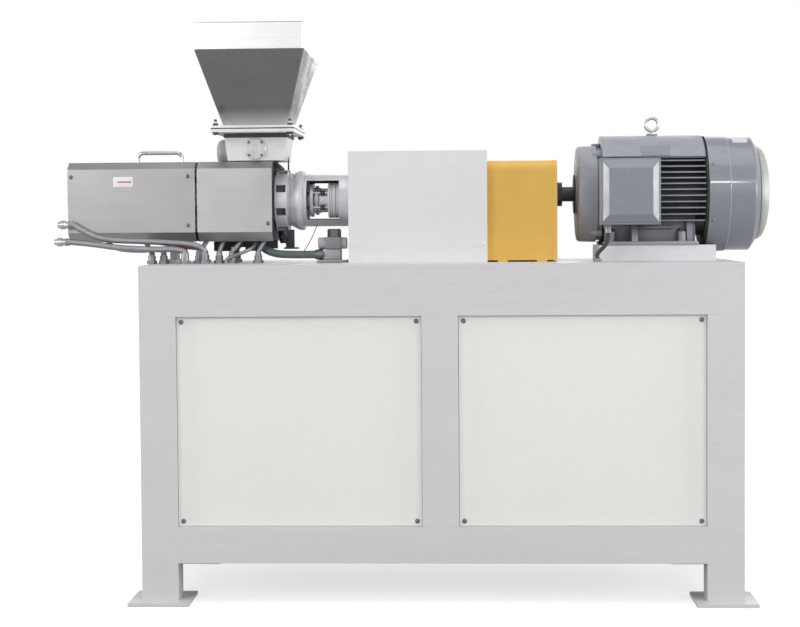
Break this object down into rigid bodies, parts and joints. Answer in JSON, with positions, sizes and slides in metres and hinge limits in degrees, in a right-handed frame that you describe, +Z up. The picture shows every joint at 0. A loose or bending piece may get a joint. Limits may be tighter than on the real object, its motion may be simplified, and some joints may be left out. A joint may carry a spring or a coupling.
{
  "type": "twin screw extruder",
  "caption": "Bench twin screw extruder: motor, guarded coupling, gearbox, lantern, shielded heated barrel and hopper in line on a welded table frame.",
  "frame": {"origin": "on the floor, under the middle of the machine's whole length and width", "axes": "+X along the machine from the die end towards the motor's fan, +Y from the operator's side to the back, +Z up"},
  "size_m": [1.832, 0.68, 1.4408],
  "materials": {
    "frame_paint": "satin light grey paint",
    "panel_paint": "satin off-white paint",
    "motor_paint": "satin blue-grey paint on cast iron",
    "guard_paint": "satin safety yellow paint",
    "stainless": "brushed stainless sheet",
    "machined": "machined and ground",
    "dark_steel": "blackened steel",
    "gear_steel": "oiled gear steel",
    "cast": "cast and painted grey",
    "braid": "metal hose with a steel braid",
    "bronze": "bearing bronze and copper",
    "elastomer": "elastic coupling element",
    "rubber": "matt rubber",
    "red": "red lacquer"
  },
  "bodies": {
    "machine": {"table_top": "frame_paint", "top_rails": "frame_paint", "bottom_rails": "frame_paint", "posts": "frame_paint", "foot_plates": "frame_paint", "front_panels": "panel_paint", "side_panels": "panel_paint", "panel_screws": "dark_steel", "motor_bed": "panel_paint", "motor_frame": "motor_paint", "motor_end_shields": "motor_paint", "motor_bearings": "machined", "stator": "bronze", "fan_cowl": "motor_paint", "fan_grille": "stainless", "terminal_box": "motor_paint", "terminal_lid": "motor_paint", "eye_bolt": "dark_steel", "motor_cable": "rubber", "coupling_guard": "guard_paint", "gearbox_cover": "panel_paint", "gearbox_housing": "cast", "gearbox_lid": "cast", "gearbox_bearings": "bronze", "lantern": "machined", "adapter_ring": "machined", "machine_bolts": "dark_steel", "packing_gland": "machined", "feed_barrel": "machined", "main_barrel": "machined", "barrel_heaters": "cast", "barrel_support": "frame_paint", "rear_shield": "stainless", "feed_throat": "machined", "throat_cover": "machined", "agitator_drive": "cast", "hopper_gasket": "rubber", "hopper": "stainless", "hopper_bolts": "dark_steel", "water_valve": "cast", "water_hose": "rubber", "heater_conduits": "braid", "die_conduits": "braid", "cable_glands": "machined", "die_connectors": "machined"},
    "rotor": {"motor_rotor": "dark_steel", "cooling_fan": "dark_steel", "motor_hub": "dark_steel", "coupling_spider": "elastomer", "gearbox_hub": "dark_steel", "input_shaft": "gear_steel"},
    "layshaft": {"layshaft": "gear_steel"},
    "screw_a": {"output_shaft_a": "gear_steel", "screw_a": "machined"},
    "screw_b": {"output_shaft_b": "gear_steel", "screw_b": "machined"},
    "agitator": {"agitator": "machined"},
    "lifting_shield": {"front_shield": "stainless", "shield_handle": "stainless"},
    "valve_handle": {"valve_lever": "red"}
  },
  "joints": [
    {"name": "motor_spin", "type": "hinge", "parent": "machine", "child": "rotor", "pos_m": [0.419, 0, 1.008], "axis": [1, 0, 0], "continuous": true},
    {"name": "layshaft_spin", "type": "hinge", "parent": "machine", "child": "layshaft", "pos_m": [0.08476, 0, 0.97175], "axis": [1, 0, 0], "continuous": true},
    {"name": "screw_a_spin", "type": "hinge", "parent": "machine", "child": "screw_a", "pos_m": [-0.236, -0.0125, 0.99736], "axis": [1, 0, 0], "continuous": true},
    {"name": "screw_b_spin", "type": "hinge", "parent": "machine", "child": "screw_b", "pos_m": [-0.236, 0.0125, 0.99736], "axis": [1, 0, 0], "continuous": true},
    {"name": "agitator_spin", "type": "hinge", "parent": "machine", "child": "agitator", "pos_m": [-0.399, 0, 1.12976], "axis": [0, 1, 0], "continuous": true},
    {"name": "shield_lift", "type": "slide", "parent": "machine", "child": "lifting_shield", "axis": [0, 0, 1], "range_m": [0, 0.25]},
    {"name": "valve_turn", "type": "hinge", "parent": "machine", "child": "valve_handle", "pos_m": [-0.594, -0.045, 0.878], "axis": [0, 1, 0], "range_deg": [0, 90]}
  ],
  "couplings": [
    {"joint": "layshaft_spin", "follows": "motor_spin", "ratio": -0.41463},
    {"joint": "screw_a_spin", "follows": "motor_spin", "ratio": 0.4607},
    {"joint": "screw_b_spin", "follows": "motor_spin", "ratio": 0.4607}
  ]
}
